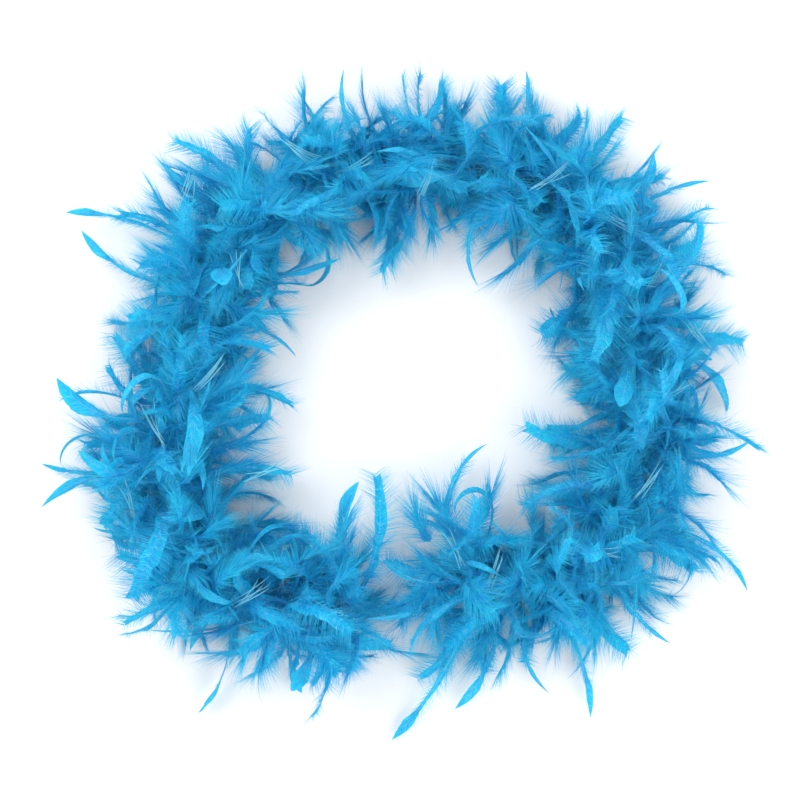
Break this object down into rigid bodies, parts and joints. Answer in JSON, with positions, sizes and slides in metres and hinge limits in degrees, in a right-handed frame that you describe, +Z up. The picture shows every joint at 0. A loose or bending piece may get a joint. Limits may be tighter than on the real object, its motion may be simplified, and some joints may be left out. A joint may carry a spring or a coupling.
{
  "type": "feather boa",
  "caption": "Fluffy dyed feather boa laid in an open ring: a bendable cord, its binding thread, and feathers bound on all round.",
  "frame": {"origin": "middle of the ring that the boa is laid in, at the height of the table under it", "axes": "+Z up; +Y from the gap between the ends towards the far side of the ring; +X to the right seen from above"},
  "size_m": [0.8785, 0.8586, 0.1508],
  "materials": {
    "feather": "soft dyed down and vane, turquoise blue",
    "cord": "twisted cotton cord, dyed blue",
    "thread": "sewing thread, dyed blue"
  },
  "bodies": {
    "link_01": {"core_cord_01": "cord", "binding_thread_01": "thread", "feathers_01": "feather", "end_whipping_first": "thread"},
    "link_02": {"core_cord_02": "cord", "binding_thread_02": "thread", "feathers_02": "feather"},
    "link_03": {"core_cord_03": "cord", "binding_thread_03": "thread", "feathers_03": "feather"},
    "link_04": {"core_cord_04": "cord", "binding_thread_04": "thread", "feathers_04": "feather"},
    "link_05": {"core_cord_05": "cord", "binding_thread_05": "thread", "feathers_05": "feather"},
    "link_06": {"core_cord_06": "cord", "binding_thread_06": "thread", "feathers_06": "feather"},
    "link_07": {"core_cord_07": "cord", "binding_thread_07": "thread", "feathers_07": "feather"},
    "link_08": {"core_cord_08": "cord", "binding_thread_08": "thread", "feathers_08": "feather"},
    "link_09": {"core_cord_09": "cord", "binding_thread_09": "thread", "feathers_09": "feather"},
    "link_10": {"core_cord_10": "cord", "binding_thread_10": "thread", "feathers_10": "feather"},
    "link_11": {"core_cord_11": "cord", "binding_thread_11": "thread", "feathers_11": "feather"},
    "link_12": {"core_cord_12": "cord", "binding_thread_12": "thread", "feathers_12": "feather"},
    "link_13": {"core_cord_13": "cord", "binding_thread_13": "thread", "feathers_13": "feather"},
    "link_14": {"core_cord_14": "cord", "binding_thread_14": "thread", "feathers_14": "feather"},
    "link_15": {"core_cord_15": "cord", "binding_thread_15": "thread", "feathers_15": "feather"},
    "link_16": {"core_cord_16": "cord", "binding_thread_16": "thread", "feathers_16": "feather", "end_whipping_last": "thread"}
  },
  "joints": [
    {"name": "side_bend_01_02", "type": "hinge", "parent": "link_02", "child": "link_01", "pos_m": [-0.18862, -0.26717, 0.062], "axis": [0, 0, -1], "range_deg": [0, 60]},
    {"name": "lift_bend_02_03", "type": "hinge", "parent": "link_03", "child": "link_02", "pos_m": [-0.27521, -0.20192, 0.062], "axis": [-0.8387, -0.5446, 0], "range_deg": [-25, 25]},
    {"name": "side_bend_03_04", "type": "hinge", "parent": "link_04", "child": "link_03", "pos_m": [-0.2996, -0.09628, 0.062], "axis": [0, 0, -1], "range_deg": [0, 60]},
    {"name": "lift_bend_04_05", "type": "hinge", "parent": "link_05", "child": "link_04", "pos_m": [-0.28123, 0.01346, 0.062], "axis": [-0.9781, 0.2079, 0], "range_deg": [-25, 25]},
    {"name": "side_bend_05_06", "type": "hinge", "parent": "link_06", "child": "link_05", "pos_m": [-0.25337, 0.12119, 0.062], "axis": [0, 0, -1], "range_deg": [0, 60]},
    {"name": "lift_bend_06_07", "type": "hinge", "parent": "link_07", "child": "link_06", "pos_m": [-0.19525, 0.2142, 0.062], "axis": [-0.682, 0.7314, 0], "range_deg": [-25, 25]},
    {"name": "side_bend_07_08", "type": "hinge", "parent": "link_08", "child": "link_07", "pos_m": [-0.09841, 0.2657, 0.062], "axis": [0, 0, -1], "range_deg": [0, 60]},
    {"name": "lift_bend_08_09", "type": "hinge", "parent": "link_08", "child": "link_09", "pos_m": [0.01164, 0.28116, 0.062], "axis": [-0.0523, 0.9986, 0], "range_deg": [-25, 25]},
    {"name": "side_bend_09_10", "type": "hinge", "parent": "link_09", "child": "link_10", "pos_m": [0.1222, 0.27246, 0.062], "axis": [0, 0, 1], "range_deg": [0, 60]},
    {"name": "lift_bend_10_11", "type": "hinge", "parent": "link_10", "child": "link_11", "pos_m": [0.21993, 0.22267, 0.062], "axis": [0.6691, 0.7431, 0], "range_deg": [-25, 25]},
    {"name": "side_bend_11_12", "type": "hinge", "parent": "link_11", "child": "link_12", "pos_m": [0.27967, 0.13068, 0.062], "axis": [0, 0, 1], "range_deg": [0, 60]},
    {"name": "lift_bend_12_13", "type": "hinge", "parent": "link_12", "child": "link_13", "pos_m": [0.29988, 0.02163, 0.062], "axis": [0.9986, 0.0523, 0], "range_deg": [-25, 25]},
    {"name": "side_bend_13_14", "type": "hinge", "parent": "link_13", "child": "link_14", "pos_m": [0.296, -0.08943, 0.062], "axis": [0, 0, 1], "range_deg": [0, 60]},
    {"name": "lift_bend_14_15", "type": "hinge", "parent": "link_14", "child": "link_15", "pos_m": [0.25491, -0.19113, 0.062], "axis": [0.7986, -0.6018, 0], "range_deg": [-25, 25]},
    {"name": "side_bend_15_16", "type": "hinge", "parent": "link_15", "child": "link_16", "pos_m": [0.16215, -0.24577, 0.062], "axis": [0, 0, 1], "range_deg": [0, 60]}
  ]
}
